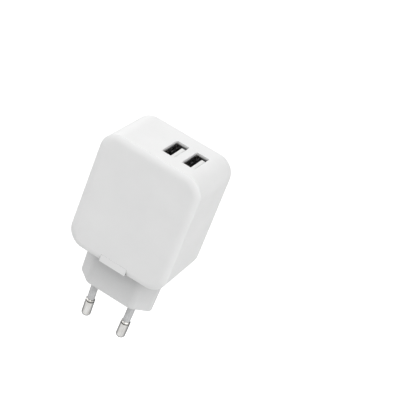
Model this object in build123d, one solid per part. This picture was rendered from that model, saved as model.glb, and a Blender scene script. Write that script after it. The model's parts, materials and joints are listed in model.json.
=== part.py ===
from build123d import *
import math
import os

os.makedirs("parts", exist_ok=True)

# ---------------------------------------------------------------------------
# USB wall charger with a fixed two-pin Europlug and two USB-A ports.
# Millimetres. Origin: centre of the plug engagement face, midway between the
# pins. +Z runs from the plug to the USB ports, the pins point to -Z, the front
# face looks to -Y and +X is to the right when the front face is looked at.
# ---------------------------------------------------------------------------

# ---- housing ----
WIDTH = 46.2           # at the front face
HEIGHT = 54.2          # plug column not counted
DEPTH = 30.0           # front face to back face
Y_FRONT = -14.6
Y_BACK = Y_FRONT + DEPTH
COLUMN_H = 18.0        # plug column, engagement face to housing
Z_BOTTOM = COLUMN_H
Z_TOP = COLUMN_H + HEIGHT
R_TOP = 8.2            # corner radius beside the ports
R_BOTTOM = 7.8         # corner radius beside the plug
DRAFT = 1.0            # mould draft towards the back, degrees
DRAFT_SLOPE = math.tan(math.radians(DRAFT))
WALL = 2.2             # side, top and bottom walls
GAP = 0.06             # assembly gap of moulded pieces
COVER_T = 1.7
COVER_Y = Y_BACK - COVER_T   # inner face of the back cover
COVER_SEAT = 1.4       # rim left outside the back cover

# ---- snap arms of the back cover, and posts that hold the board ----
SNAP_Z = (37.0, 53.0)
SNAP_HALF = 2.0        # half length along Z
HOOK_X = 20.85         # tip of the snap hook, from the centre plane
HOOK_Y = (9.5, 11.2)
POST_Z = (31.0, 60.5)
BACK_POST_X = 17.4
BACK_POST_R = 1.5
POST_GAP = 0.04        # post end to board

# ---- plug ----
PLUG_HALF_W = 17.2     # tip to centre at the engagement face
PLUG_HALF_T = 6.85
SKIRT_IN = 0.9         # skirt inside the housing, in from the column outline
SKIRT_CORNER = (3.2, 1.2)    # corner and tip radii
LOCK_HALF_W = 6.15     # locking tongue in the front lower edge
LOCK_H = 3.2

# ---- USB ports ----
PORT_X = {"a": 2.0, "b": 11.3}
PORT_Y = -0.3
PORT_W = 5.7           # opening in the housing, across X
PORT_L = 13.1          # opening in the housing, across Y
MOUTH_DEPTH = 1.55     # receptacle mouth below the top face
MOUTH_Z = Z_TOP - MOUTH_DEPTH

# ---- board ----
PCB_FRONT = 6.35
PCB_T = 1.6
PCB_BACK = PCB_FRONT + PCB_T
LEAD_R = 0.3
LEAD_END = PCB_BACK + 1.0
SIDES = (-1, 1)
CUT = 1.0              # how far a cutting solid runs past the face it opens

# Filled in as parts are built, and cut from the board at the end.
lead_holes = []        # (x, z) of every round lead hole
board_slots = []       # (x0, x1, z0, z1) of every slot


# ---------------------------------------------------------------------------
# helpers
# ---------------------------------------------------------------------------
def block(x0, x1, y0, y1, z0, z1):
    """A box between two limits on each axis, given in either order."""
    centre = Pos((x0 + x1) / 2, (y0 + y1) / 2, (z0 + z1) / 2)
    return centre * Box(abs(x1 - x0), abs(y1 - y0), abs(z1 - z0))


def cyl_x(y, z, x0, x1, radius):
    return Pos((x0 + x1) / 2, y, z) * Rot(0, 90, 0) * Cylinder(radius, abs(x1 - x0))


def cyl_y(x, z, y0, y1, radius):
    return Pos(x, (y0 + y1) / 2, z) * Rot(90, 0, 0) * Cylinder(radius, abs(y1 - y0))


def cyl_z(z0, z1, radius):
    return Pos(0, 0, (z0 + z1) / 2) * Cylinder(radius, abs(z1 - z0))


def lead(x, z, y0):
    """A round lead from y0 through the board, whose hole is noted."""
    lead_holes.append((x, z))
    return cyl_y(x, z, y0, LEAD_END, LEAD_R)


def save(name, *shapes):
    solids = [solid for shape in shapes for solid in shape.solids()]
    whole = solids[0] if len(solids) == 1 else Compound(children=solids)
    export_step(whole, f"parts/{name}.step")


def edges_at(shape, axis, level):
    """The edges that lie in the plane where axis, "Y" or "Z", equals level."""
    found = []
    for edge in shape.edges():
        box = edge.bounding_box()
        if all(abs(getattr(end, axis) - level) < 1e-3 for end in (box.min, box.max)):
            found.append(edge)
    return found


def housing_block(y0, y1, inset):
    """A drafted block with the housing's outline, inset all round."""
    inset_here = inset + (y0 - Y_FRONT) * DRAFT_SLOPE
    plane = Plane(origin=(0, y0, (Z_BOTTOM + Z_TOP) / 2), x_dir=(-1, 0, 0), z_dir=(0, 1, 0))
    outline = Rectangle(WIDTH - 2 * inset_here, HEIGHT - 2 * inset_here)
    tops = outline.vertices().sort_by(Axis.Y)[-2:]
    outline = fillet(tops, max(0.5, R_TOP - inset_here))
    low = outline.bounding_box().min.Y
    half_width = WIDTH / 2 - inset_here
    bottoms = [
        v for v in outline.vertices()
        if abs(v.Y - low) < 1e-4 and abs(abs(v.X) - half_width) < 1e-4
    ]
    outline = fillet(bottoms, max(0.5, R_BOTTOM - inset_here))
    return extrude(plane * outline, y1 - y0, taper=DRAFT)


PLUG_FLAT_HALF = 10.7  # half length of the two long flats
PLUG_TIP_HALF = 1.0    # half length of the short flat at each tip


def plug_outline(inset, corner, tip):
    """The plug's flattened hexagon on the XY plane, inset all round.

    corner and tip are the radii at the long flats and at the two ends.
    """
    run_x = PLUG_HALF_W - PLUG_FLAT_HALF
    run_y = PLUG_HALF_T - PLUG_TIP_HALF
    slant = math.hypot(run_x, run_y)
    normal_x, normal_y = run_y / slant, run_x / slant
    # the slanting side is the line normal_x * x + normal_y * y = reach
    reach = normal_x * PLUG_HALF_W + normal_y * PLUG_TIP_HALF - inset
    flat_y = PLUG_HALF_T - inset
    tip_x = PLUG_HALF_W - inset
    flat_x = (reach - normal_y * flat_y) / normal_x
    tip_y = (reach - normal_x * tip_x) / normal_y
    if tip_y > 0.3:
        right = [(flat_x, -flat_y), (tip_x, -tip_y), (tip_x, tip_y), (flat_x, flat_y)]
    else:
        right = [(flat_x, -flat_y), (reach / normal_x, 0), (flat_x, flat_y)]
    points = right + [(-x, y) for x, y in right[::-1]]
    outline = Polygon(*points, align=None)
    outline = fillet([v for v in outline.vertices() if abs(abs(v.Y) - flat_y) < 1e-4], corner)
    return fillet([v for v in outline.vertices() if abs(v.X) > tip_x - 0.05], tip)


# ---------------------------------------------------------------------------
# housing shell: front, sides, top with the ports, bottom with the plug opening
# ---------------------------------------------------------------------------
FRONT_EDGE_R = 4.6     # the front face rolls over on this radius ...
FRONT_EDGE_IN = 3.2    # ... starting this far in, so it ends in a soft crease
CREASE_R = 0.2
BACK_EDGE_R = 1.3
FRONT_WALL = 2.0
CAVITY_R = 1.2
PORT_CORNER_R = 0.55
PORT_RIM_R = 0.2
POCKET_EXTRA = 0.16    # room round the receptacle, both sides together
FRONT_POST_X = (18.3, 21.0)
SNAP_POCKET_X = (19.5, HOOK_X + 0.5)


def rounded_outside():
    body = housing_block(Y_FRONT, Y_BACK, 0)
    wide = housing_block(Y_FRONT, Y_BACK + 2, -(FRONT_EDGE_R - FRONT_EDGE_IN))
    wide = fillet(edges_at(wide, "Y", Y_FRONT), FRONT_EDGE_R)
    body = body & wide
    crease = []
    for edge in body.edges():
        box = edge.bounding_box()
        if Y_FRONT + 0.6 < box.min.Y and box.max.Y < Y_FRONT + 2.4:
            crease.append(edge)
    body = fillet(crease, CREASE_R)
    return fillet(edges_at(body, "Y", Y_BACK), BACK_EDGE_R)


def port_rim_edges(shell):
    rims = []
    for edge in shell.edges():
        box = edge.bounding_box()
        in_x = box.min.X > min(PORT_X.values()) - 4 and box.max.X < max(PORT_X.values()) + 4
        in_y = box.min.Y > PORT_Y - 8 and box.max.Y < PORT_Y + 8
        if box.min.Z > Z_TOP - 0.9 and in_x and in_y:
            rims.append(edge)
    return rims


def housing_shell():
    cavity = housing_block(Y_FRONT + FRONT_WALL, COVER_Y - 0.05, WALL)
    cavity = fillet(edges_at(cavity, "Y", Y_FRONT + FRONT_WALL), CAVITY_R)
    seat = housing_block(COVER_Y - GAP, Y_BACK + CUT, COVER_SEAT)
    shell = rounded_outside() - cavity - seat

    for x in PORT_X.values():
        opening = RectangleRounded(PORT_W, PORT_L, PORT_CORNER_R)
        shell -= extrude(Pos(x, PORT_Y, Z_TOP - 4) * opening, 5)
        pocket = RectangleRounded(
            PORT_W + POCKET_EXTRA, PORT_L + POCKET_EXTRA, PORT_CORNER_R + 0.05
        )
        shell -= extrude(Pos(x, PORT_Y, Z_TOP - 5) * pocket, 5 - MOUTH_DEPTH + 0.04)
    shell = fillet(port_rim_edges(shell), PORT_RIM_R)

    # plug opening with the slot for the locking tongue
    opening = plug_outline(SKIRT_IN - 0.08, *SKIRT_CORNER)
    shell -= extrude(Pos(0, 0, Z_BOTTOM - CUT) * opening, WALL + 3.5)
    shell -= block(-LOCK_HALF_W - GAP, LOCK_HALF_W + GAP, Y_FRONT - CUT, -PLUG_HALF_T + 1.5,
                   Z_BOTTOM - CUT, Z_BOTTOM + LOCK_H + 0.04)

    # posts that carry the front of the board
    for side in SIDES:
        for z in POST_Z:
            shell += block(side * FRONT_POST_X[0], side * FRONT_POST_X[1],
                           Y_FRONT + 1.0, PCB_FRONT - POST_GAP, z - 0.9, z + 0.9)
    # pockets for the back cover's snap arms
    half = SNAP_HALF + 0.3
    for side in SIDES:
        for z in SNAP_Z:
            shell -= block(side * SNAP_POCKET_X[0], side * SNAP_POCKET_X[1],
                           HOOK_Y[0] - 0.15, HOOK_Y[1] + 0.15, z - half, z + half)
    return shell


save("housing_shell", housing_shell())

# ---------------------------------------------------------------------------
# back cover: a plate in the housing's rim, with four snap arms and four posts
# ---------------------------------------------------------------------------
COVER_OUT_Y = Y_BACK - 0.05
COVER_EDGE_R = 0.2
RIB_H = 1.2
RIB_IN = (0.12, 1.3)   # outer and inner side of the rib, in from the side walls
RIB_GAP_HALF = 3.0     # the rib is broken at each snap arm
ARM_X = (18.9, 20.0)
ARM_Y = 9.0            # free end of the snap arms
JOIN = 0.2             # overlap of rib, arms and posts with the plate


def back_cover():
    cover = housing_block(COVER_Y, COVER_OUT_Y, COVER_SEAT + GAP)
    cover = fillet(edges_at(cover, "Y", COVER_OUT_Y), COVER_EDGE_R)
    rib = housing_block(COVER_Y - RIB_H, COVER_Y + JOIN, WALL + RIB_IN[0])
    rib -= housing_block(COVER_Y - 2.5, COVER_Y + CUT, WALL + RIB_IN[1])
    for z in SNAP_Z:
        rib -= block(-30, 30, 5, 20, z - RIB_GAP_HALF, z + RIB_GAP_HALF)
    cover += rib
    for side in SIDES:
        root_x, tip_x = side * (ARM_X[1] - 0.1), side * HOOK_X
        for z in SNAP_Z:
            cover += block(side * ARM_X[0], side * ARM_X[1], ARM_Y, COVER_Y + JOIN,
                           z - SNAP_HALF, z + SNAP_HALF)
            hook = make_face(Polyline(
                (root_x, HOOK_Y[0]), (tip_x, HOOK_Y[1] - 0.1),
                (tip_x, HOOK_Y[1]), (root_x, HOOK_Y[1]), close=True,
            ))
            cover += extrude(Pos(0, 0, z - SNAP_HALF) * hook, 2 * SNAP_HALF)
        for z in POST_Z:
            cover += cyl_y(side * BACK_POST_X, z, PCB_BACK + POST_GAP, COVER_Y + JOIN,
                           BACK_POST_R)
    return cover


save("back_cover", back_cover())

# ---------------------------------------------------------------------------
# plug base: hollow column, locking tongue, skirt with hooks, pin bosses
# ---------------------------------------------------------------------------
PLUG_DRAFT = 1.8       # the column widens to its foot, degrees
PLUG_WALL = 1.8
FACE_T = 3.6           # thickness of the engagement face
FACE_EDGE_R = 0.7
SKIRT_H = 4.2
BOSS_R = 3.0
BOSS_Z = (1.0, 12.5)
SKIRT_HOOK_X = {-1: (7.2, 9.9), 1: (4.0, 7.0)}   # by side in Y: front, back

PIN_SPACING_FACE = 18.6
PIN_SPACING_TIP = 17.5
PIN_LENGTH = 19.0
STEM_R = 1.2           # metal inside the sleeve
SLEEVE_R = 1.62
SLEEVE_SEAT = 2.5      # how deep the sleeve sits in the engagement face
COLLAR_Z = (6.0, 7.5)  # collar on the stem
COLLAR_R = STEM_R + 0.6
FIT = 0.01             # radial clearance round the metal and the sleeve
TILT = math.degrees(math.atan((PIN_SPACING_FACE - PIN_SPACING_TIP) / 2 / PIN_LENGTH))


def pin_place(side):
    """Carries a pin built on the Z axis to its place: the tips lean towards each other."""
    return Pos(side * PIN_SPACING_FACE / 2, 0, 0) * Rot(0, side * TILT, 0)


def skirt_hook(side_x, side_y):
    """A wedge on the skirt that catches behind the housing's drafted bottom wall."""
    x0, x1 = sorted(side_x * x for x in SKIRT_HOOK_X[side_y])
    skirt_y = side_y * (PLUG_HALF_T - SKIRT_IN)
    wall_z = Z_BOTTOM + WALL + 0.05 + (skirt_y + 0.7 - Y_FRONT) * DRAFT_SLOPE
    root_y = skirt_y - side_y * 0.4
    tip_y = skirt_y + side_y * 0.65
    profile = make_face(Polyline(
        (root_y, wall_z), (tip_y, wall_z), (tip_y, wall_z + 0.2),
        (skirt_y - side_y * 0.1, wall_z + 1.1), (root_y, wall_z + 1.1), close=True,
    ))
    plane = Plane(origin=(x0, 0, 0), x_dir=(0, 1, 0), z_dir=(1, 0, 0))
    return extrude(plane * profile, x1 - x0)


def plug_base():
    column = extrude(plug_outline(0, 4.2, 1.5), COLUMN_H + 0.8, taper=-PLUG_DRAFT)
    column = fillet(edges_at(column, "Z", 0), FACE_EDGE_R)
    # the foot follows the housing's drafted lower face
    column -= housing_block(Y_FRONT, Y_BACK, -0.02)
    skirt_outline = plug_outline(SKIRT_IN, *SKIRT_CORNER)
    base = column + extrude(Pos(0, 0, COLUMN_H - 0.6) * skirt_outline, SKIRT_H)
    base -= extrude(Pos(0, 0, FACE_T) * plug_outline(PLUG_WALL, 2.2, 0.6), COLUMN_H + 8)
    # the tongue runs flat to a sharp lower edge, where the housing's front edge is rounded
    tongue = block(-LOCK_HALF_W, LOCK_HALF_W, Y_FRONT - 1, -PLUG_HALF_T + SKIRT_IN + 0.4,
                   Z_BOTTOM - 1, Z_BOTTOM + LOCK_H)
    base += tongue & housing_block(Y_FRONT + 0.01, Y_BACK, 0.0)
    for side_x in SIDES:
        for side_y in SIDES:
            base += skirt_hook(side_x, side_y)
    for side in SIDES:
        base += pin_place(side) * cyl_z(*BOSS_Z, BOSS_R)
    for side in SIDES:
        # a shallow countersink round each sleeve
        countersink = Cone(SLEEVE_R + 0.4, SLEEVE_R + 0.05, 0.4)
        base -= Pos(side * PIN_SPACING_FACE / 2, 0, 0.2) * countersink
        base -= pin_place(side) * (
            cyl_z(-3, SLEEVE_SEAT, SLEEVE_R + FIT)
            + cyl_z(2, 30, STEM_R + FIT)
            + cyl_z(*COLLAR_Z, COLLAR_R + FIT)
        )
    return base


save("plug_base", plug_base())

# ---------------------------------------------------------------------------
# pins, sleeves and the sheet-metal contacts behind them
# ---------------------------------------------------------------------------
PIN_R = 2.0            # bare metal end
METAL_LENGTH = 8.6
PIN_END_R = 1.5
PIN_SHOULDER = 0.35
RING_DROP = 1.0        # shoulder to the fine groove round the metal
PIN_REAR = 16.6        # how far the stem reaches into the housing
TIP_Z = -PIN_LENGTH
SHOULDER_Z = TIP_Z + METAL_LENGTH

SHEET_T = 0.4          # contact sheet metal
EYE_Z = 14.0
RISER_X = (6.6, 9.4)
RISER_Y = 3.9
FOOT_Z = 24.0          # upper face of the contact's foot
TAB_X = 8.0
TAB_HALF = 0.8
TAB_GAP = 0.1


def plug_pin():
    tip = cyl_z(TIP_Z, SHOULDER_Z, PIN_R)
    tip = fillet(edges_at(tip, "Z", TIP_Z), PIN_END_R)
    tip = chamfer(edges_at(tip, "Z", SHOULDER_Z), PIN_SHOULDER)
    tip -= Pos(0, 0, SHOULDER_Z - RING_DROP) * Torus(PIN_R + 0.12, 0.3)
    pin = tip + cyl_z(SHOULDER_Z - 0.5, PIN_REAR, STEM_R) + cyl_z(*COLLAR_Z, COLLAR_R)
    return chamfer(edges_at(pin, "Z", PIN_REAR), 0.3)


def pin_sleeve():
    z0 = SHOULDER_Z + 0.02
    sleeve = cyl_z(z0, SLEEVE_SEAT - 0.02, SLEEVE_R)
    sleeve -= cyl_z(SHOULDER_Z - CUT, 3, STEM_R + FIT)
    return fillet([e for e in edges_at(sleeve, "Z", z0) if e.radius > 1.4], 0.15)


def pin_contact(side):
    """An eye on the pin's stem, a riser and a tab in the board."""
    eye_x = side * (PIN_SPACING_FACE / 2 + EYE_Z * math.tan(math.radians(TILT)))
    x0, x1 = side * RISER_X[0], side * RISER_X[1]
    tab_x = side * TAB_X
    foot_z0 = FOOT_Z - SHEET_T
    riser_back = RISER_Y + SHEET_T
    contact = block(side * 7.4, eye_x + side * 1.8, -1.9, 1.9, EYE_Z, EYE_Z + SHEET_T)
    contact += block(x0, x1, -1.0, riser_back, EYE_Z, EYE_Z + SHEET_T)
    contact += block(x0, x1, RISER_Y, riser_back, EYE_Z, FOOT_Z)
    contact += block(x0, x1, RISER_Y, PCB_FRONT - 0.02, foot_z0, FOOT_Z)
    contact += block(tab_x - TAB_HALF, tab_x + TAB_HALF, PCB_FRONT - 0.6, LEAD_END,
                     foot_z0, FOOT_Z)
    slot_half = TAB_HALF + TAB_GAP
    board_slots.append((tab_x - slot_half, tab_x + slot_half, foot_z0 - TAB_GAP, FOOT_Z + TAB_GAP))
    return contact - pin_place(side) * cyl_z(10, 20, STEM_R + FIT)


for side, word in ((-1, "left"), (1, "right")):
    save(f"plug_pin_{word}", pin_place(side) * plug_pin())
    save(f"pin_sleeve_{word}", pin_place(side) * pin_sleeve())
    save(f"pin_contact_{word}", pin_contact(side))

# ---------------------------------------------------------------------------
# transformer, sized from its own centre
# ---------------------------------------------------------------------------
TRAFO_X, TRAFO_Y, TRAFO_Z = 8.5, -0.15, 42.0
CORE_X, CORE_Y, CORE_Z = 8.0, 2.5, 7.0           # half sizes of the two E cores together
CORE_LEGS = ((-CORE_X, -6), (-2, 2), (6, CORE_X))   # X limits of each leg
CORE_LEG_Z = 4.0
CORE_HALF_GAP = 0.01
FLANGE_Z = (3.1, 3.9)
RAIL_END_Z = 8.6
TRAFO_PIN_Z = 7.9
TRAFO_PIN_X = (-5.0, -2.5, 0.0, 2.5, 5.0)
# rounded rectangles: half size in X, half size in Y, corner radius
WINDING = ((5.45, 5.2, 2.6), (2.85, 3.35, 0.2))
WINDING_TAPE = ((5.75, 5.5, 2.85), (5.48, 5.23, 2.6))


def trafo_block(x0, x1, y0, y1, z0, z1):
    return block(TRAFO_X + x0, TRAFO_X + x1, TRAFO_Y + y0, TRAFO_Y + y1,
                 TRAFO_Z + z0, TRAFO_Z + z1)


def e_core(side):
    core = trafo_block(-CORE_X, CORE_X, -CORE_Y, CORE_Y, side * CORE_LEG_Z, side * CORE_Z)
    for x0, x1 in CORE_LEGS:
        core += trafo_block(x0, x1, -CORE_Y, CORE_Y, side * CORE_HALF_GAP, side * CORE_LEG_Z)
    return core


def bobbin_and_pins():
    """The bobbin's tube, two flanges and two pin rails, and its ten pins."""
    bobbin = trafo_block(-2.8, 2.8, -3.3, 3.3, -FLANGE_Z[1], FLANGE_Z[1])
    for side in SIDES:
        flange_z0, flange_z1 = side * FLANGE_Z[0], side * FLANGE_Z[1]
        bobbin += trafo_block(-5.9, 5.9, -5.7, 5.6, flange_z0, flange_z1)
        bobbin += trafo_block(-7.2, 7.2, 2.8, 5.9, flange_z0, side * RAIL_END_Z)
        # room for the outer legs of the core
        bobbin -= trafo_block(-8.2, -5.92, -2.6, 2.6, 0, side * 8)
        bobbin -= trafo_block(5.92, 8.2, -2.6, 2.6, 0, side * 8)
    bobbin -= trafo_block(-2.08, 2.08, -2.58, 2.58, -5, 5)
    pins = []
    for side in SIDES:
        z = TRAFO_Z + side * TRAFO_PIN_Z
        for offset in TRAFO_PIN_X:
            x = TRAFO_X + offset
            pins.append(lead(x, z, TRAFO_Y + 3.8))
            bobbin -= cyl_y(x, z, TRAFO_Y + 3.7, TRAFO_Y + 7, LEAD_R + FIT)
    return bobbin, pins


def trafo_ring(outer, inner, half_z):
    def prism(half_x, half_y, radius, half_length):
        outline = RectangleRounded(2 * half_x, 2 * half_y, radius)
        place = Pos(TRAFO_X, TRAFO_Y, TRAFO_Z - half_length)
        return extrude(place * outline, 2 * half_length)

    return prism(*outer, half_z) - prism(*inner, half_z + CUT)


def core_tape():
    """A band round the core in the XZ plane."""
    def frame(grow, half_y):
        x, z = CORE_X + grow, CORE_Z + grow
        return trafo_block(-x, x, -half_y, half_y, -z, z)

    return frame(0.2, 2.0) - frame(0.03, 3)


save("transformer_core_upper", e_core(1))
save("transformer_core_lower", e_core(-1))
trafo_bobbin, trafo_pins = bobbin_and_pins()
save("transformer_bobbin", trafo_bobbin)
save("transformer_pins", *trafo_pins)
save("transformer_winding", trafo_ring(*WINDING, half_z=3.05))
save("transformer_winding_tape", trafo_ring(*WINDING_TAPE, half_z=3.0))
save("transformer_core_tape", core_tape())

# ---------------------------------------------------------------------------
# round capacitors: can with a crimp groove and two leads
# ---------------------------------------------------------------------------
CAN_GAP = 0.4          # can to board
CAN_EDGE_R = 0.5
CRIMP_UP = 1.6         # can's board end to crimp groove
SCORE_HALF_W = 0.12    # also the depth of the score

# name, x, z, can radius, can length, lead pitch, turn of the lead row from X in degrees
ROUND_CAPS = (
    ("bulk_capacitor_lower", -13.1, 31.2, 4.9, 15.0, 5.0, 90),
    ("bulk_capacitor_upper", -13.1, 41.6, 4.9, 15.0, 5.0, 90),
    ("output_capacitor_left", -13.6, 61.5, 4.0, 12.0, 3.5, 0),
    ("output_capacitor_right", -5.3, 61.5, 4.0, 12.0, 3.5, 0),
)


def round_cap(x, z, radius, length, pitch, turn):
    y1 = PCB_FRONT - CAN_GAP
    y0 = y1 - length
    can = cyl_y(x, z, y0, y1, radius)
    can = fillet(can.edges(), CAN_EDGE_R)
    can -= Pos(x, y1 - CRIMP_UP, z) * Rot(90, 0, 0) * Torus(radius + 0.35, 0.75)
    # cross-shaped score in the end away from the board
    for half_x, half_z in ((radius * 0.6, SCORE_HALF_W), (SCORE_HALF_W, radius * 0.6)):
        can -= block(x - half_x, x + half_x, y0 - CUT, y0 + SCORE_HALF_W, z - half_z, z + half_z)
    for side in SIDES:
        dx = side * pitch / 2 * math.cos(math.radians(turn))
        dz = side * pitch / 2 * math.sin(math.radians(turn))
        can += lead(x + dx, z + dz, y1 - 0.5)
    return can


for name, *sizes in ROUND_CAPS:
    save(name, round_cap(*sizes))

# ---------------------------------------------------------------------------
# fusible resistor, lying in front of the board with bent leads
# ---------------------------------------------------------------------------
FUSE_Y, FUSE_Z = 3.9, 23.9
FUSE_HALF = 4.2
FUSE_LEAD_X = 5.7


def fuse_resistor():
    fuse = fillet(cyl_x(FUSE_Y, FUSE_Z, -FUSE_HALF, FUSE_HALF, 1.5).edges(), 0.6)
    for x0, x1 in ((-FUSE_HALF, -2.9), (2.9, FUSE_HALF)):
        fuse += fillet(cyl_x(FUSE_Y, FUSE_Z, x0, x1, 1.65).edges(), 0.4)
    for side in SIDES:
        x = side * FUSE_LEAD_X
        fuse += cyl_x(FUSE_Y, FUSE_Z, side * 4.0, x, LEAD_R)
        fuse += Pos(x, FUSE_Y, FUSE_Z) * Sphere(LEAD_R)
        fuse += lead(x, FUSE_Z, FUSE_Y)
    return fuse


save("fuse_resistor", fuse_resistor())

# ---------------------------------------------------------------------------
# drum inductor: ferrite drum and its copper winding
# ---------------------------------------------------------------------------
DRUM_X, DRUM_Z = -2.6, 29.4
DRUM_Y0, DRUM_Y1 = -1.6, 5.9
DRUM_CORE_R = 1.5
DRUM_RIM_R = 3.2
DRUM_RIM_T = 1.0
COIL_R = 2.8
COIL_GAP = 0.03        # winding to rim


def inductor_core():
    drum = cyl_y(DRUM_X, DRUM_Z, DRUM_Y0, DRUM_Y1, DRUM_CORE_R)
    drum += cyl_y(DRUM_X, DRUM_Z, DRUM_Y0, DRUM_Y0 + DRUM_RIM_T, DRUM_RIM_R)
    drum += cyl_y(DRUM_X, DRUM_Z, DRUM_Y1 - DRUM_RIM_T, DRUM_Y1, DRUM_RIM_R)
    rim_length = 2 * math.pi * DRUM_RIM_R
    drum = fillet([e for e in drum.edges() if abs(e.length - rim_length) < 0.01], 0.2)
    for side in SIDES:
        drum += lead(DRUM_X + side * 1.25, DRUM_Z, 5.5)
    return drum


def inductor_winding():
    inset = DRUM_RIM_T + COIL_GAP
    coil = cyl_y(DRUM_X, DRUM_Z, DRUM_Y0 + inset, DRUM_Y1 - inset, COIL_R)
    return coil - cyl_y(DRUM_X, DRUM_Z, -1, 6, DRUM_CORE_R + 0.02)


save("filter_inductor_core", inductor_core())
save("filter_inductor_winding", inductor_winding())

# ---------------------------------------------------------------------------
# moulded packages: body with a dimple and two rows of bent leads
# ---------------------------------------------------------------------------
STANDOFF = 0.12        # body to board
STRIP_T = 0.2          # lead thickness
STRIP_GAP = 0.02       # lead to board
FRONT, BACK = -1, 1    # face of the board

# name, x, z, size in X, size in Z, height, board face,
# leads in a row, their pitch, lead width, lead reach, axis of the rows
PACKAGES = (
    ("bridge_rectifier", 9.6, 29.0, 4.8, 4.0, 2.5, FRONT, 2, 2.5, 0.7, 1.0, "z"),
    ("control_chip", 4.0, 28.2, 3.9, 4.9, 1.5, BACK, 4, 1.27, 0.42, 1.0, "z"),
    ("switching_transistor", 12.0, 28.9, 6.5, 5.6, 2.2, BACK, 2, 4.5, 0.8, 1.0, "x"),
    ("sync_rectifier", -8.0, 54.0, 3.9, 4.9, 1.5, BACK, 4, 1.27, 0.42, 1.0, "z"),
    ("port_control_chip", 7.4, 63.5, 1.6, 2.9, 1.1, BACK, 3, 0.95, 0.35, 0.6, "z"),
    ("snubber_diode", 0.0, 41.0, 4.3, 2.6, 2.1, BACK, 1, 1.0, 1.4, 0.7, "z"),
)


def package(x, z, size_x, size_z, height, face, leads, pitch, lead_w, reach, row_axis):
    board_y = PCB_FRONT if face == FRONT else PCB_BACK
    y0 = board_y + face * STANDOFF
    y1 = board_y + face * (STANDOFF + height)
    body = block(x - size_x / 2, x + size_x / 2, y0, y1, z - size_z / 2, z + size_z / 2)
    body = chamfer(body.edges().filter_by(Axis.Y), 0.15)
    body -= cyl_y(x - size_x / 2 + 0.8, z + size_z / 2 - 0.8, y1 - face * 0.1, y1 + face * CUT,
                  0.35)
    if row_axis == "z":
        out_mid, out_size, row_mid = x, size_x, z
    else:
        out_mid, out_size, row_mid = z, size_z, x
    mid_y = (y0 + y1) / 2
    low_y = board_y + face * STRIP_GAP
    for i in range(leads):
        row = row_mid + (i - (leads - 1) / 2) * pitch
        row0, row1 = row - lead_w / 2, row + lead_w / 2
        for side in SIDES:
            root = out_mid + side * (out_size / 2 - 0.3)
            knee = out_mid + side * (out_size / 2 + reach * 0.45)
            bend = knee - side * STRIP_T
            # each strip: limits away from the body, limits in Y
            for out0, out1, strip_y0, strip_y1 in (
                (root, knee, mid_y - STRIP_T / 2, mid_y + STRIP_T / 2),
                (bend, knee, low_y, mid_y + face * STRIP_T / 2),
                (bend, knee + side * reach * 0.55, low_y, low_y + face * STRIP_T),
            ):
                if row_axis == "z":
                    body += block(out0, out1, strip_y0, strip_y1, row0, row1)
                else:
                    body += block(row0, row1, strip_y0, strip_y1, out0, out1)
    return body


for name, *sizes in PACKAGES:
    save(name, package(*sizes))

# ---------------------------------------------------------------------------
# opto-coupler: four straight legs through the board
# ---------------------------------------------------------------------------
OPTO_X, OPTO_Z = -4.1, 47.2
OPTO_Y = (2.3, 5.8)
OPTO_HALF = (2.3, 3.2)       # half size in X and Z
OPTO_LEG = (1.27, 3.6)       # leg offset in X and Z
OPTO_LEG_Y = 3.9
OPTO_LEG_HALF_T = 0.125


def optocoupler():
    half_x, half_z = OPTO_HALF
    opto = block(OPTO_X - half_x, OPTO_X + half_x, *OPTO_Y, OPTO_Z - half_z, OPTO_Z + half_z)
    opto = chamfer(opto.edges().filter_by(Axis.Y), 0.25)
    opto -= cyl_y(OPTO_X - 1.5, OPTO_Z + 2.4, 2.2, 2.4, 0.4)
    for side_x in SIDES:
        for side_z in SIDES:
            x, z = OPTO_X + side_x * OPTO_LEG[0], OPTO_Z + side_z * OPTO_LEG[1]
            opto += block(x - 0.3, x + 0.3, OPTO_LEG_Y, OPTO_LEG_Y + 0.3,
                          z - side_z * 0.7, z + side_z * OPTO_LEG_HALF_T)
            opto += block(x - 0.25, x + 0.25, OPTO_LEG_Y, LEAD_END,
                          z - OPTO_LEG_HALF_T, z + OPTO_LEG_HALF_T)
            lead_holes.append((x, z))
    return opto


save("optocoupler", optocoupler())


# ---------------------------------------------------------------------------
# safety capacitor: a lacquered disc on edge that bridges the two sides
# ---------------------------------------------------------------------------
def safety_capacitor():
    x0, x1 = -5.7, -2.4
    disc = cyl_x(0.9, 38.2, x0, x1, 4.0)
    disc = fillet(disc.edges(), 1.2)
    for z in (35.7, 40.7):
        disc += lead((x0 + x1) / 2, z, 2.8)
    return disc


save("safety_capacitor", safety_capacitor())

# ---------------------------------------------------------------------------
# small chips on the board's back, each with two metal ends
# ---------------------------------------------------------------------------
# (x, z) of each
RESISTOR_SPOTS = [
    (-12, 27), (-9, 27), (-12, 30), (14, 45), (14, 48), (3.0, 46.0), (3.0, 48.2),
    (-13.0, 54), (-13.0, 56.2), (-1.4, 33.2), (0.5, 37.3), (-10, 36),
]
CAPACITOR_SPOTS = [
    (-10.2, 33.3), (14, 51.6), (-3.2, 54.6), (-3.2, 57.4), (15.8, 64.2),
    (-9.5, 47.2), (-9.5, 49.6), (-7.4, 30.6),
]


def small_chip(x, z, top):
    """top is the height of the body above the board."""
    body = block(x - 0.7, x + 0.7, PCB_BACK + 0.02, PCB_BACK + top, z - 0.62, z + 0.62)
    left, right = [
        block(x + side * 0.62, x + side * 1.0, PCB_BACK + 0.01, PCB_BACK + top + 0.05,
              z - 0.64, z + 0.64)
        for side in SIDES
    ]
    return body + (left + right)


save("chip_resistors", *[small_chip(x, z, top=0.5) for x, z in RESISTOR_SPOTS])
save("chip_capacitors", *[small_chip(x, z, top=1.15) for x, z in CAPACITOR_SPOTS])

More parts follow.
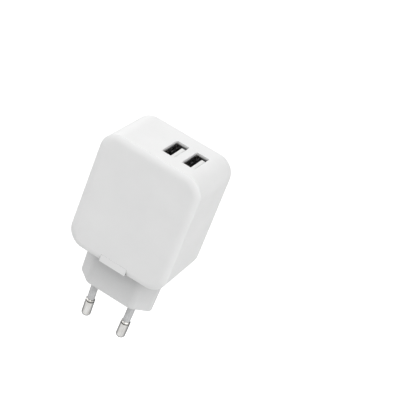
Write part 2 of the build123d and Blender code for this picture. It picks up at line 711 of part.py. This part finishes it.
# ---------------------------------------------------------------------------
# USB receptacles: stamped shell, insulator with tongue, four sprung contacts
# ---------------------------------------------------------------------------
SHELL_T = 0.3
SHELL_R = 0.7
SHELL_BORE_R = 0.42
RECEPT_Z = MOUTH_Z - 14.0    # lower end of the receptacle
BASE_TOP = MOUTH_Z - 11.0    # top of the insulator's base block
ROOT_Z = BASE_TOP - 0.35     # where the springs leave the tails
BORE_Y0 = PORT_Y - PORT_L / 2 + SHELL_T
BORE_Y1 = PORT_Y + PORT_L / 2 - SHELL_T
BORE_HALF_W = PORT_W / 2 - SHELL_T
LEAF_Y = 4.2                 # retention leaves, from the port's centre
LEG_Z = (RECEPT_Z + 2.4, RECEPT_Z + 3.8)
TONGUE_T = 1.84
TONGUE_W = 11.1
TONGUE_GAP = 0.42            # tongue to the shell on the side away from the contacts
CONTACT_Y = (-3.5, -1.0, 1.0, 3.5)
CONTACT_W = 1.0
CONTACT_T = 0.25
ROOT_IN = 0.35               # contacts' root line, in from the tongue's face
TAIL_PITCH = 1.15


def tongue_face_x(port_x):
    """X of the tongue's face on the contact side."""
    return port_x + BORE_HALF_W - TONGUE_GAP - TONGUE_T


def usb_shell(port_x):
    shell = extrude(Pos(port_x, PORT_Y, RECEPT_Z) * RectangleRounded(PORT_W, PORT_L, SHELL_R),
                    MOUTH_Z - RECEPT_Z)
    bore = RectangleRounded(PORT_W - 2 * SHELL_T, PORT_L - 2 * SHELL_T, SHELL_BORE_R)
    shell -= extrude(Pos(port_x, PORT_Y, RECEPT_Z - CUT) * bore, MOUTH_Z - RECEPT_Z + 2 * CUT)
    # two retention springs in the broad wall on the contact side: a window, a leaf and a bump
    x0 = port_x - PORT_W / 2
    for y in (PORT_Y - LEAF_Y, PORT_Y + LEAF_Y):
        shell -= block(x0 - CUT, x0 + SHELL_T + 0.2, y - 1.15, y + 1.15,
                       MOUTH_Z - 7.4, MOUTH_Z - 1.5)
        leaf = block(x0, x0 + SHELL_T, y - 0.85, y + 0.85, MOUTH_Z - 7.6, MOUTH_Z - 2.5)
        bump = Pos(x0 + 0.02, y, MOUTH_Z - 3.1) * Rot(90, 0, 0) * Cylinder(0.55, 1.7)
        bump = bump & block(x0, x0 + 2, y - 2, y + 2, MOUTH_Z - 5, MOUTH_Z - 1)
        shell += leaf + bump
    # legs into the board
    for side in SIDES:
        x = port_x + side * (PORT_W / 2 - SHELL_T / 2)
        shell += block(x - SHELL_T / 2, x + SHELL_T / 2, BORE_Y1 - 1.2, PCB_BACK + 0.7, *LEG_Z)
        board_slots.append((x - 0.35, x + 0.35, LEG_Z[0] - 0.2, LEG_Z[1] + 0.2))
    return shell


def usb_insulator(port_x):
    """Base block and tongue, with a groove for each contact."""
    face_x = tongue_face_x(port_x)
    root_x = face_x + ROOT_IN
    half_w = BORE_HALF_W - 0.02
    base = block(port_x - half_w, port_x + half_w, BORE_Y0 + 0.02, BORE_Y1 - 0.02,
                 RECEPT_Z + 0.2, BASE_TOP)
    base = fillet(base.edges().filter_by(Axis.Z), SHELL_BORE_R)
    tongue = block(face_x, face_x + TONGUE_T, PORT_Y - TONGUE_W / 2, PORT_Y + TONGUE_W / 2,
                   BASE_TOP - 0.5, MOUTH_Z - 0.1)
    tongue = chamfer(edges_at(tongue, "Z", MOUTH_Z - 0.1), 0.25)
    insulator = base + tongue
    for offset in CONTACT_Y:
        y = PORT_Y + offset
        insulator -= block(face_x - 0.6, face_x + 1.12, y - 0.58, y + 0.58,
                           ROOT_Z - 0.08, MOUTH_Z - 0.75)
        insulator -= block(root_x - 0.14, root_x + 0.14, y - 0.51, y + 0.51,
                           RECEPT_Z - CUT, BASE_TOP)
    return insulator


def thick_line(line, thickness):
    """A closed face along a line, offset half the thickness to each side at every point."""
    side1, side2 = [], []
    for i, (u, v) in enumerate(line):
        before = line[max(0, i - 1)]
        after = line[min(len(line) - 1, i + 1)]
        du, dv = after[0] - before[0], after[1] - before[1]
        scale = thickness / 2 / math.hypot(du, dv)
        side1.append((u + dv * scale, v - du * scale))
        side2.append((u - dv * scale, v + du * scale))
    return make_face(Polyline(*(side1 + side2[::-1]), close=True))


def usb_spring(port_x, y):
    face_x = tongue_face_x(port_x)
    root_x = face_x + ROOT_IN
    # centre line of the sprung beam as (x, z), root to tip
    profile = thick_line([
        (root_x, ROOT_Z + 0.02),
        (root_x, ROOT_Z + 1.2),
        (face_x + 0.12, MOUTH_Z - 4.4),
        (face_x - 0.30, MOUTH_Z - 2.9),
        (face_x - 0.30, MOUTH_Z - 2.45),
        (face_x + 0.28, MOUTH_Z - 1.15),
    ], CONTACT_T)
    plane = Plane(origin=(0, y + CONTACT_W / 2, 0), x_dir=(1, 0, 0), z_dir=(0, -1, 0))
    return extrude(plane * profile, CONTACT_W)


def usb_tail(port_x, y, level):
    """The fixed tail: down through the base block, then back to the board at z = level."""
    x = tongue_face_x(port_x) + ROOT_IN
    x0, x1 = x - CONTACT_T / 2, x + CONTACT_T / 2
    y0 = y - CONTACT_W / 2
    tail = block(x0, x1, y0, y0 + CONTACT_W, level - 0.25, ROOT_Z - 0.02)
    tail += block(x0, x1, y0, LEAD_END, level - 0.25, level + 0.25)
    lead_holes.append((x, level))
    return tail


for word, port_x in PORT_X.items():
    save(f"usb_shell_{word}", usb_shell(port_x))
    save(f"usb_tongue_{word}", usb_insulator(port_x))
    springs = [usb_spring(port_x, PORT_Y + offset) for offset in CONTACT_Y]
    tails = [
        usb_tail(port_x, PORT_Y + offset, RECEPT_Z - 0.7 - TAIL_PITCH * (3 - i))
        for i, offset in enumerate(CONTACT_Y)
    ]
    save(f"usb_contact_springs_{word}", *springs)
    save(f"usb_contact_tails_{word}", *tails)

# ---------------------------------------------------------------------------
# main board, with a hole for every lead, and the insulation sheet behind it
# ---------------------------------------------------------------------------
PCB_HALF_W = 19.6
PCB_Z = (22.0, 69.0)
PCB_CORNER_R = 4.5
HOLE_R = 0.42
CREEPAGE_SLOT = (-15.0, -8.2, 51.0, 51.9)   # between mains and low-voltage side
SHEET_HALF_W = 18.6
SHEET_Y = (11.3, 11.55)
SHEET_Z = (24.0, 66.5)


def main_board():
    board = block(-PCB_HALF_W, PCB_HALF_W, PCB_FRONT, PCB_BACK, *PCB_Z)
    board = fillet(board.edges().filter_by(Axis.Y), PCB_CORNER_R)
    for x, z in lead_holes:
        board -= cyl_y(x, z, PCB_FRONT - CUT, PCB_BACK + CUT, HOLE_R)
    for x0, x1, z0, z1 in board_slots + [CREEPAGE_SLOT]:
        board -= block(x0, x1, PCB_FRONT - CUT, PCB_BACK + CUT, z0, z1)
    return board


def insulation_sheet():
    sheet = block(-SHEET_HALF_W, SHEET_HALF_W, *SHEET_Y, *SHEET_Z)
    sheet = fillet(sheet.edges().filter_by(Axis.Y), 2.0)
    for side in SIDES:
        for z in POST_Z:
            sheet -= cyl_y(side * BACK_POST_X, z, 10, 13, BACK_POST_R + 0.1)
    return sheet


save("main_board", main_board())
save("insulation_sheet", insulation_sheet())
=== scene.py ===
"""Looks, stage and camera for a two-port power adapter and the parts inside it.

The adapter stands along Z: its metal pins are at the low end, its ports at the high end.
The CAD meshes are kept as they are; every look is a procedural material in object space.
Lengths are in metres. Colours are linear RGB.
"""
import bpy, bmesh, json, math
from mathutils import Vector, Matrix

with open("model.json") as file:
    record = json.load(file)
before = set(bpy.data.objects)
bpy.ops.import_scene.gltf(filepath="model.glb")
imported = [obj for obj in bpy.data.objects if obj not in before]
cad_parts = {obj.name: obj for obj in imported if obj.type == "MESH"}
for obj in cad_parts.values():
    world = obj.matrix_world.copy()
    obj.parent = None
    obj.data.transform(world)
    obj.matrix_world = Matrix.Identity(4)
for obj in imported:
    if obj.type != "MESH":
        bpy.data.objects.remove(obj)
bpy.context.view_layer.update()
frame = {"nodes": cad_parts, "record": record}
nodes = frame["nodes"]

# Places on the adapter that the materials refer to
HOUSING_OPEN_Z = 0.0708     # above this the housing's hollows are hardly darkened
PLUG_BASE_FLUSH_Y = -0.0125  # below this the plug base takes the housing's tone instead of its painted shade
# height of the painted shade band round the pins
PIN_GROOVE_SHADE = dict(z=-0.0114, half_height=0.00028)
# where the painted glints sit in the ports
PORT_BUMP_GLINTS = dict(
    z=0.06755, half_height=0.0007,
    spacing=0.0093,         # repeat along X
    wall=0.00875,           # wall face, measured within one repeat
    proud=0.0004,           # how far a bump stands off the wall
    y_middle=-0.0003, y_reach=0.0054,
)
WIRE_PITCH = 0.00028

HOUSING_LIGHT = (0.880, 0.882, 0.880)
HOUSING_DARK = (0.845, 0.847, 0.846)
# painted shade colour for corners and joins
CORNER_SHADE_COLOUR = (0.50, 0.49, 0.47)
# painted shade colour for rims turned away from the viewer
RIM_SHADE_COLOUR = (0.05, 0.05, 0.052)
# painted shade colour for the band round the pins
GROOVE_SHADE_COLOUR = (0.045, 0.044, 0.042)
# painted glint colour on the port springs
GLINT_COLOUR = (0.97, 0.97, 0.96)
BLACK = (0.0, 0.0, 0.0)
WHITE = (1, 1, 1)


# ---------------------------------------------------------------------------
# node graphs
# ---------------------------------------------------------------------------
class Graph:
    """Builds a node tree; its helpers take and return sockets."""

    def __init__(self, owner):
        owner.use_nodes = True
        self.tree = owner.node_tree
        self.tree.nodes.clear()

    def put(self, socket, value):
        """Link an output to an input socket, or set the input's own value."""
        if isinstance(value, bpy.types.NodeSocket):
            self.tree.links.new(value, socket)
        elif socket.type == "RGBA":
            socket.default_value = (*value, 1)
        else:
            socket.default_value = value

    def add(self, kind, inputs=None, **settings):
        node = self.tree.nodes.new(kind)
        for key, value in settings.items():
            setattr(node, key, value)
        for key, value in (inputs or {}).items():
            self.put(node.inputs[key], value)
        return node

    def math(self, operation, *values, clamp=False):
        node = self.add("ShaderNodeMath", dict(enumerate(values)),
                        operation=operation, use_clamp=clamp)
        return node.outputs["Value"]

    def dot(self, vector, direction):
        node = self.add("ShaderNodeVectorMath", {0: vector, 1: direction},
                        operation="DOT_PRODUCT")
        return node.outputs["Value"]


class Look(Graph):
    """One material: a Principled surface textured in object space."""

    def __init__(self, name):
        self.material = bpy.data.materials.new(name)
        super().__init__(self.material)
        output = self.add("ShaderNodeOutputMaterial")
        self.bsdf = self.add("ShaderNodeBsdfPrincipled")
        self.put(output.inputs["Surface"], self.bsdf.outputs["BSDF"])
        self.place = self.add("ShaderNodeTexCoord").outputs["Object"]

    def surface(self, inputs):
        for key, value in inputs.items():
            self.put(self.bsdf.inputs[key], value)

    def axes(self):
        return self.add("ShaderNodeSeparateXYZ", {"Vector": self.place}).outputs

    def mapped(self, **inputs):
        node = self.add("ShaderNodeMapping", {"Vector": self.place, **inputs})
        return node.outputs["Vector"]

    def noise(self, scale, detail, roughness, distortion=0.0, vector=None):
        node = self.add("ShaderNodeTexNoise", {
            "Scale": scale, "Detail": detail, "Roughness": roughness,
            "Distortion": distortion, "Vector": vector or self.place})
        return node.outputs["Fac"]

    def ramp(self, value, *stops):
        """Colour ramp; each stop is (position, colour)."""
        node = self.add("ShaderNodeValToRGB", {"Fac": value})
        elements = node.color_ramp.elements
        while len(elements) > 1:
            elements.remove(elements[-1])
        elements[0].position = stops[0][0]
        elements[0].color = (*stops[0][1], 1)
        for position, colour in stops[1:]:
            elements.new(position).color = (*colour, 1)
        return node.outputs["Color"]

    def remap(self, value, source, target):
        """Carry the range source = (low, high) onto target = (at low, at high)."""
        node = self.add("ShaderNodeMapRange", {
            "From Min": source[0], "From Max": source[1],
            "To Min": target[0], "To Max": target[1], "Value": value})
        return node.outputs["Result"]

    def distance(self, value, middle):
        return self.math("ABSOLUTE", self.math("SUBTRACT", value, middle))

    def mix(self, factor, first, second):
        # a colour mix has its factor at input 0, its colours at 6 and 7, its result at output 2
        node = self.add("ShaderNodeMix", data_type="RGBA")
        for index, value in ((0, factor), (6, first), (7, second)):
            self.put(node.inputs[index], value)
        return node.outputs[2]

    def bump(self, height, distance, strength, below=None):
        inputs = {"Distance": distance, "Strength": strength, "Height": height}
        if below is not None:
            inputs["Normal"] = below
        return self.add("ShaderNodeBump", inputs).outputs["Normal"]

    def openness(self, distance, samples):
        node = self.add("ShaderNodeAmbientOcclusion", {"Distance": distance}, samples=samples)
        return node.outputs["AO"]

    def paint_rim_shade(self, colour, amount, facing_range):
        """Painted shade: darken the surface where it turns away from the viewer."""
        facing = self.add("ShaderNodeLayerWeight", {"Blend": 0.5}).outputs["Facing"]
        rim = self.remap(facing, source=facing_range, target=(0.0, amount))
        return self.mix(rim, colour, RIM_SHADE_COLOUR)


# ---------------------------------------------------------------------------
# plastic
# ---------------------------------------------------------------------------
def add_flush_face(look, colour, slow, flush):
    """Give the part that lies flush in the neighbouring face that face's tone; elsewhere the
    part keeps its own darker colour, which on the plug base is painted shade.
    """
    y, blend = flush["y"], 0.0006
    face = look.remap(look.axes()["Y"], source=(y - blend, y + blend), target=(1.0, 0.0))
    other = look.ramp(slow, (0.32, flush["dark"]), (0.68, flush["light"]))
    return look.mix(face, colour, other)


def add_corner_shade(look, colour, corner_shade, distance):
    """Painted shade darkening corners and joins where the surface is closed in, laid on in
    uneven patches.
    """
    open_sky = look.openness(distance, samples=6)
    patches = look.noise(scale=900.0, detail=3.0, roughness=0.6)
    corners = look.remap(open_sky, source=(0.25, 0.95), target=(1.0, 0.0))
    uneven = look.remap(patches, source=(0.3, 0.7), target=(0.4, 1.2))
    darkening = look.math("MULTIPLY", corners, uneven)
    amount = look.math("MULTIPLY", darkening, corner_shade, clamp=True)
    return look.mix(amount, colour, CORNER_SHADE_COLOUR)


def add_hollow_shade(look, colour, shade, open_above):
    """Darken deep hollows; open_above eases this off above a height."""
    hollow = look.remap(look.openness(0.016, samples=8), source=(0.0, 1.0), target=(shade, 0.0))
    if open_above:
        z, blend = open_above["z"], 0.0004
        ease = look.remap(look.axes()["Z"], source=(z - blend, z + blend),
                          target=(1.0, open_above["remaining"]))
        hollow = look.math("MULTIPLY", hollow, ease)
    return look.mix(hollow, colour, BLACK)


def plastic(name, light, dark, rough, grain=5200.0, grain_depth=0.000012, blotch=55.0,
            corner_shade=0.0, corner_shade_distance=0.0012, coat=0.0, shade=0.0, open_above=None,
            flush=None, edge=0.0):
    """Moulded plastic: slow tone drift, fine grain and worn smoother patches.

    grain and blotch are texture scales; the other numbers are amounts, three of them painted
    shade: in corners and joins, in deep hollows and at the rim.
    """
    look = Look(name)
    slow = look.noise(scale=blotch, detail=4.0, roughness=0.55)
    colour = look.ramp(slow, (0.32, dark), (0.68, light))
    if flush:
        colour = add_flush_face(look, colour, slow, flush)
    # painted shade in corners and joins
    if corner_shade:
        colour = add_corner_shade(look, colour, corner_shade, corner_shade_distance)
    if shade:
        colour = add_hollow_shade(look, colour, shade, open_above)
    # painted rim shade
    if edge:
        colour = look.paint_rim_shade(colour, edge, facing_range=(0.35, 0.85))

    wear = look.noise(scale=140.0, detail=5.0, roughness=0.6, distortion=0.4)
    fine = look.noise(scale=grain, detail=2.0, roughness=0.6)
    cells = look.add("ShaderNodeTexVoronoi", {"Scale": grain * 0.55, "Vector": look.place},
                     feature="SMOOTH_F1").outputs["Distance"]
    grained = look.bump(look.math("ADD", fine, cells), distance=grain_depth, strength=0.8)
    waves = look.noise(scale=38.0, detail=1.0, roughness=0.4)
    look.surface({
        "Base Color": colour,
        "Roughness": look.remap(wear, source=(0.35, 0.65), target=rough),
        "Normal": look.bump(waves, distance=0.00006, strength=0.5, below=grained),
    })
    if coat:
        look.surface({"Coat Weight": coat, "Coat Roughness": 0.12})
    return look.material


# ---------------------------------------------------------------------------
# metal
# ---------------------------------------------------------------------------
def add_groove_shade(look, colour, z, half_height):
    """Painted shade: a dark band painted round the metal at a given height."""
    away = look.distance(look.axes()["Z"], z)
    inside = look.remap(away, source=(half_height * 0.7, half_height * 1.2), target=(0.9, 0.0))
    return look.mix(inside, colour, GROOVE_SHADE_COLOUR)


def add_bump_glints(look, colour, z, half_height, spacing, wall, proud, y_middle, y_reach):
    """Painted glints: a light patch on the sprung bump in each port, standing in for a
    highlight.
    """
    at = look.axes()
    level = look.remap(look.distance(at["Z"], z),
                       source=(half_height * 0.6, half_height * 1.3), target=(1.0, 0.0))
    across = look.math("FLOORED_MODULO", at["X"], spacing)
    off_wall = look.remap(across, source=(wall + 0.00001, wall + 0.00008), target=(0.0, 1.0))
    near_wall = look.remap(across, source=(wall + proud, wall + proud + 0.0001),
                           target=(1.0, 0.0))
    between = look.remap(look.distance(at["Y"], y_middle),
                         source=(y_reach, y_reach + 0.0002), target=(1.0, 0.0))
    bright = look.math("MULTIPLY", look.math("MULTIPLY", level, off_wall),
                       look.math("MULTIPLY", near_wall, between))
    return look.mix(bright, colour, GLINT_COLOUR)


def metal(name, light, dark, rough, stretch, depth=0.000004, tarnish=None,
          tarnish_amount=0.0, edge=0.0, groove_shade=None, bump_glints=None):
    """Metal with lines drawn along the axis whose stretch is small, and cloudy patches."""
    look = Look(name)
    lines = look.noise(scale=2600.0, detail=3.0, roughness=0.65,
                       vector=look.mapped(Scale=stretch))
    cloud = look.noise(scale=320.0, detail=4.0, roughness=0.6, distortion=0.6)
    colour = look.ramp(lines, (0.3, dark), (0.7, light))
    if tarnish:
        amount = look.remap(cloud, source=(0.45, 0.75), target=(0.0, tarnish_amount))
        colour = look.mix(amount, colour, tarnish)
    # painted rim shade
    if edge:
        colour = look.paint_rim_shade(colour, edge, facing_range=(0.30, 0.62))
    # painted shade band
    if groove_shade:
        colour = add_groove_shade(look, colour, **groove_shade)
    # painted glint
    if bump_glints:
        colour = add_bump_glints(look, colour, **bump_glints)

    wear = look.math("ADD", look.math("MULTIPLY", lines, 0.6),
                     look.math("MULTIPLY", cloud, 0.4))
    look.surface({
        "Base Color": colour,
        "Roughness": look.remap(wear, source=(0.3, 0.7), target=rough),
        "Normal": look.bump(lines, distance=depth, strength=0.7),
        "Metallic": 1.0,
    })
    return look.material


# ---------------------------------------------------------------------------
# wire and board
# ---------------------------------------------------------------------------
def winding(name, light, dark, pitch, axis):
    """Round enamelled wire laid turn beside turn."""
    look = Look(name)
    # 0.314 turns one band per pitch into the wave texture's scale
    turns = look.add("ShaderNodeTexWave", {
        "Scale": 1.0 / pitch * 0.314, "Distortion": 0.25, "Vector": look.place,
    }, wave_type="BANDS", bands_direction=axis, wave_profile="SIN").outputs["Fac"]
    look.surface({
        # the dark stop paints shade into the troughs between turns, where the bump dips
        "Base Color": look.ramp(turns, (0.1, dark), (0.6, light)),
        "Metallic": 0.85,
        "Roughness": 0.3,
        "Coat Weight": 0.6,
        "Normal": look.bump(turns, distance=pitch * 0.3, strength=0.9),
    })
    return look.material


def laminate(name):
    """Green solder mask over glass weave, with a lighter grid of traces."""
    look = Look(name)
    weave = look.add("ShaderNodeTexChecker", {
        "Scale": 1900.0, "Vector": look.place,
        "Color1": (0.020, 0.150, 0.060), "Color2": (0.024, 0.170, 0.070)}).outputs["Color"]
    upright = look.mapped(Rotation=(math.radians(90), 0, 0))
    traces = look.add("ShaderNodeTexBrick", {
        "Scale": 130.0, "Mortar Size": 0.06, "Vector": upright}).outputs["Fac"]
    look.surface({
        "Base Color": look.mix(traces, weave, (0.045, 0.26, 0.11)),
        "Roughness": 0.32,
        "Normal": look.bump(traces, distance=0.00003, strength=0.6),
    })
    return look.material


# ---------------------------------------------------------------------------
# the looks, by material slot
# ---------------------------------------------------------------------------
# Several looks below paint shade into their colour: in corners and joins, in deep hollows and
# at rims.
LOOKS = {
    "housing_plastic": (plastic, dict(
        light=HOUSING_LIGHT, dark=HOUSING_DARK, rough=(0.36, 0.46), corner_shade=0.6,
        corner_shade_distance=0.0018, shade=0.95,
        open_above=dict(z=HOUSING_OPEN_Z, remaining=0.12))),
    "sleeve_plastic": (plastic, dict(
        light=(0.66, 0.665, 0.67), dark=(0.56, 0.565, 0.57), rough=(0.35, 0.5),
        corner_shade=0.2, blotch=400.0, edge=0.35)),
    "pin_nickel": (metal, dict(
        light=(0.86, 0.855, 0.84), dark=(0.58, 0.575, 0.56), rough=(0.07, 0.20),
        stretch=(1, 1, 0.06), depth=0.00001, tarnish=(0.45, 0.40, 0.32),
        tarnish_amount=0.35, edge=0.8, groove_shade=PIN_GROOVE_SHADE)),
    "contact_brass": (metal, dict(
        light=(0.83, 0.66, 0.36), dark=(0.70, 0.53, 0.27), rough=(0.2, 0.35),
        stretch=(0.1, 1, 1))),
    "board_laminate": (laminate, {}),
    "insulation_paper": (plastic, dict(
        light=(0.62, 0.64, 0.60), dark=(0.54, 0.56, 0.53), rough=(0.6, 0.8),
        grain=2600.0, grain_depth=0.00004)),
    "resistor_lacquer": (plastic, dict(
        light=(0.16, 0.40, 0.33), dark=(0.11, 0.31, 0.26), rough=(0.25, 0.4),
        coat=0.5, blotch=500.0)),
    "package_black": (plastic, dict(
        light=(0.030, 0.030, 0.033), dark=(0.020, 0.020, 0.022), rough=(0.45, 0.62),
        grain=3800.0, blotch=600.0)),
    "capacitor_sleeve": (plastic, dict(
        light=(0.030, 0.036, 0.085), dark=(0.020, 0.025, 0.062), rough=(0.2, 0.32),
        coat=0.4, blotch=260.0)),
    "output_capacitor_can": (metal, dict(
        light=(0.84, 0.85, 0.86), dark=(0.70, 0.71, 0.73), rough=(0.28, 0.42),
        stretch=(1, 0.08, 1))),
    "ferrite": (plastic, dict(
        light=(0.070, 0.070, 0.078), dark=(0.045, 0.045, 0.052), rough=(0.5, 0.75),
        grain=3000.0, grain_depth=0.00002, blotch=350.0)),
    "copper_wire": (winding, dict(
        light=(0.80, 0.38, 0.16), dark=(0.30, 0.10, 0.04), pitch=WIRE_PITCH, axis="Z")),
    "polyester_tape": (plastic, dict(
        light=(0.82, 0.64, 0.09), dark=(0.72, 0.55, 0.07), rough=(0.18, 0.3),
        coat=0.5, blotch=300.0)),
    "bobbin_plastic": (plastic, dict(
        light=(0.035, 0.034, 0.033), dark=(0.022, 0.022, 0.022), rough=(0.4, 0.6),
        blotch=300.0)),
    "tinned_wire": (metal, dict(
        light=(0.82, 0.83, 0.84), dark=(0.66, 0.67, 0.69), rough=(0.25, 0.4),
        stretch=(1, 0.1, 1))),
    "disc_lacquer": (plastic, dict(
        light=(0.06, 0.22, 0.52), dark=(0.04, 0.16, 0.42), rough=(0.25, 0.4),
        coat=0.4, blotch=260.0)),
    "chip_ceramic": (plastic, dict(
        light=(0.40, 0.31, 0.22), dark=(0.30, 0.23, 0.17), rough=(0.4, 0.6),
        blotch=900.0)),
    "port_steel": (metal, dict(
        light=(0.36, 0.36, 0.37), dark=(0.24, 0.24, 0.25), rough=(0.22, 0.36),
        stretch=(1, 1, 0.08), bump_glints=PORT_BUMP_GLINTS)),
    "port_insulator": (plastic, dict(
        light=(0.90, 0.90, 0.895), dark=(0.86, 0.86, 0.855), rough=(0.28, 0.38),
        corner_shade=0.15, corner_shade_distance=0.0004, blotch=300.0)),
    "contact_gold": (metal, dict(
        light=(0.95, 0.72, 0.33), dark=(0.84, 0.60, 0.24), rough=(0.15, 0.28),
        stretch=(1, 1, 0.1), tarnish=(0.60, 0.50, 0.34), tarnish_amount=0.3)),
    # not a slot: the plug base gets a greyer copy of the housing plastic, painted shade for its
    # place under the housing's overhang
    "plug_base": (plastic, dict(
        light=(0.745, 0.748, 0.748), dark=(0.705, 0.708, 0.709), rough=(0.36, 0.46),
        corner_shade=0.6, corner_shade_distance=0.0018, shade=0.95,
        flush=dict(y=PLUG_BASE_FLUSH_Y, light=HOUSING_LIGHT, dark=HOUSING_DARK))),
}


def dress_parts():
    materials = {key: make(f"{key}_look", **options) for key, (make, options) in LOOKS.items()}
    slot_of = {part["node"]: part["material_slot"] for part in frame["record"]["subparts"]}
    for name, part in nodes.items():
        material = materials["plug_base" if name == "plug_base" else slot_of[name]]
        if not part.material_slots:
            part.data.materials.append(material)
        for slot in part.material_slots:
            slot.material = material


# ---------------------------------------------------------------------------
# floor
# ---------------------------------------------------------------------------
FLOOR_Z = -0.12
FLOOR_HALF = 3.0
TOWARD_CAMERA = (0.29, -0.957, 0.0)  # along the floor


def floor_paper():
    """Grey paper that glows a little to the camera and falls off in reflections."""
    look = Look("floor_paper")
    clouds = look.noise(scale=3.0, detail=3.0, roughness=0.5)
    paper = look.ramp(clouds, (0.3, (0.69,) * 3), (0.7, (0.72,) * 3))
    ray = look.add("ShaderNodeLightPath").outputs
    # reflections see the paper darker behind the object, as with a flagged studio sweep
    forward = look.remap(look.dot(look.place, TOWARD_CAMERA),
                         source=(-0.20, 0.10), target=(0.0, 1.0))
    reflected = look.ramp(forward, (0.30, (0.62,) * 3), (0.70, (0.90,) * 3))
    look.surface({
        "Base Color": look.mix(ray["Is Glossy Ray"], paper, reflected),
        "Roughness": 0.9,
        "Specular IOR Level": 0.1,
        "Emission Color": WHITE,
        "Emission Strength": look.math("MULTIPLY", ray["Is Camera Ray"], 0.5),
    })
    return look.material


def build_floor():
    mesh = bpy.data.meshes.new("floor")
    grid = bmesh.new()
    bmesh.ops.create_grid(grid, x_segments=8, y_segments=8, size=FLOOR_HALF)
    grid.to_mesh(mesh)
    grid.free()
    sheet = bpy.data.objects.new("floor", mesh)
    sheet.location = (0, 0, FLOOR_Z)
    bpy.context.scene.collection.objects.link(sheet)
    mesh.materials.append(floor_paper())


# ---------------------------------------------------------------------------
# light
# ---------------------------------------------------------------------------
# broad soft panels: direction towards the panel, strength
PANELS = [
    ((0.39, -0.28, 0.88), 1.51),
    ((-0.75, 0.66, 0.03), 1.50),
    ((0.74, -0.33, 0.59), 1.22),
    ((-0.71, 0.18, 0.68), 1.09),
    ((-0.78, -0.26, 0.57), 0.71),
    ((0.85, -0.52, 0.12), 0.31),
    ((0.66, -0.63, 0.41), 0.34),
    ((-0.73, -0.69, -0.01), 0.30),
    ((-0.52, -0.42, 0.74), 0.29),
    ((-0.51, -0.06, 0.86), 0.28),
    ((0.88, 0.46, 0.12), 0.35),
]
PANEL_FOCUS = 6.0  # power of the cosine; higher makes each panel smaller


def build_world():
    """A world whose brightness is the sum of the panels."""
    world = bpy.data.worlds.new("studio")
    bpy.context.scene.world = world
    graph = Graph(world)
    output = graph.add("ShaderNodeOutputWorld")
    background = graph.add("ShaderNodeBackground", {"Color": WHITE})
    graph.put(output.inputs[0], background.outputs[0])
    view = graph.add("ShaderNodeTexCoord").outputs["Generated"]
    total = 0.0
    for direction, strength in PANELS:
        cosine = graph.dot(view, Vector(direction).normalized())
        lobe = graph.math("POWER", graph.math("MAXIMUM", cosine, 0.0), PANEL_FOCUS)
        total = graph.math("MULTIPLY_ADD", lobe, strength, total)
    graph.put(background.inputs["Strength"], total)


# ---------------------------------------------------------------------------
# camera
# ---------------------------------------------------------------------------
CAMERA_PLACE = (0.17235, -0.50199, 0.35908)
# the camera's own axes in the scene; it looks against CAMERA_BACK
CAMERA_RIGHT = (0.83057, 0.44851, 0.33015)
CAMERA_UP = (-0.49796, 0.33261, 0.80088)
CAMERA_BACK = (0.24939, -0.82959, 0.49959)
SENSOR_WIDTH_MM = 36.0
FOCAL_LENGTH_MM = 136.4891707


def build_camera():
    scene = bpy.context.scene
    lens = bpy.data.cameras.new("camera")
    lens.sensor_width = SENSOR_WIDTH_MM
    lens.lens = FOCAL_LENGTH_MM
    lens.clip_start = 0.01
    lens.clip_end = 20.0
    camera = bpy.data.objects.new("camera", lens)
    axes = [Vector(axis).normalized() for axis in (CAMERA_RIGHT, CAMERA_UP, CAMERA_BACK)]
    turn = Matrix(axes).transposed()
    camera.matrix_world = Matrix.Translation(Vector(CAMERA_PLACE)) @ turn.to_4x4()
    scene.collection.objects.link(camera)
    scene.camera = camera
    scene.view_settings.view_transform = "Standard"
    scene.view_settings.look = "None"


dress_parts()
build_floor()
build_world()
build_camera()
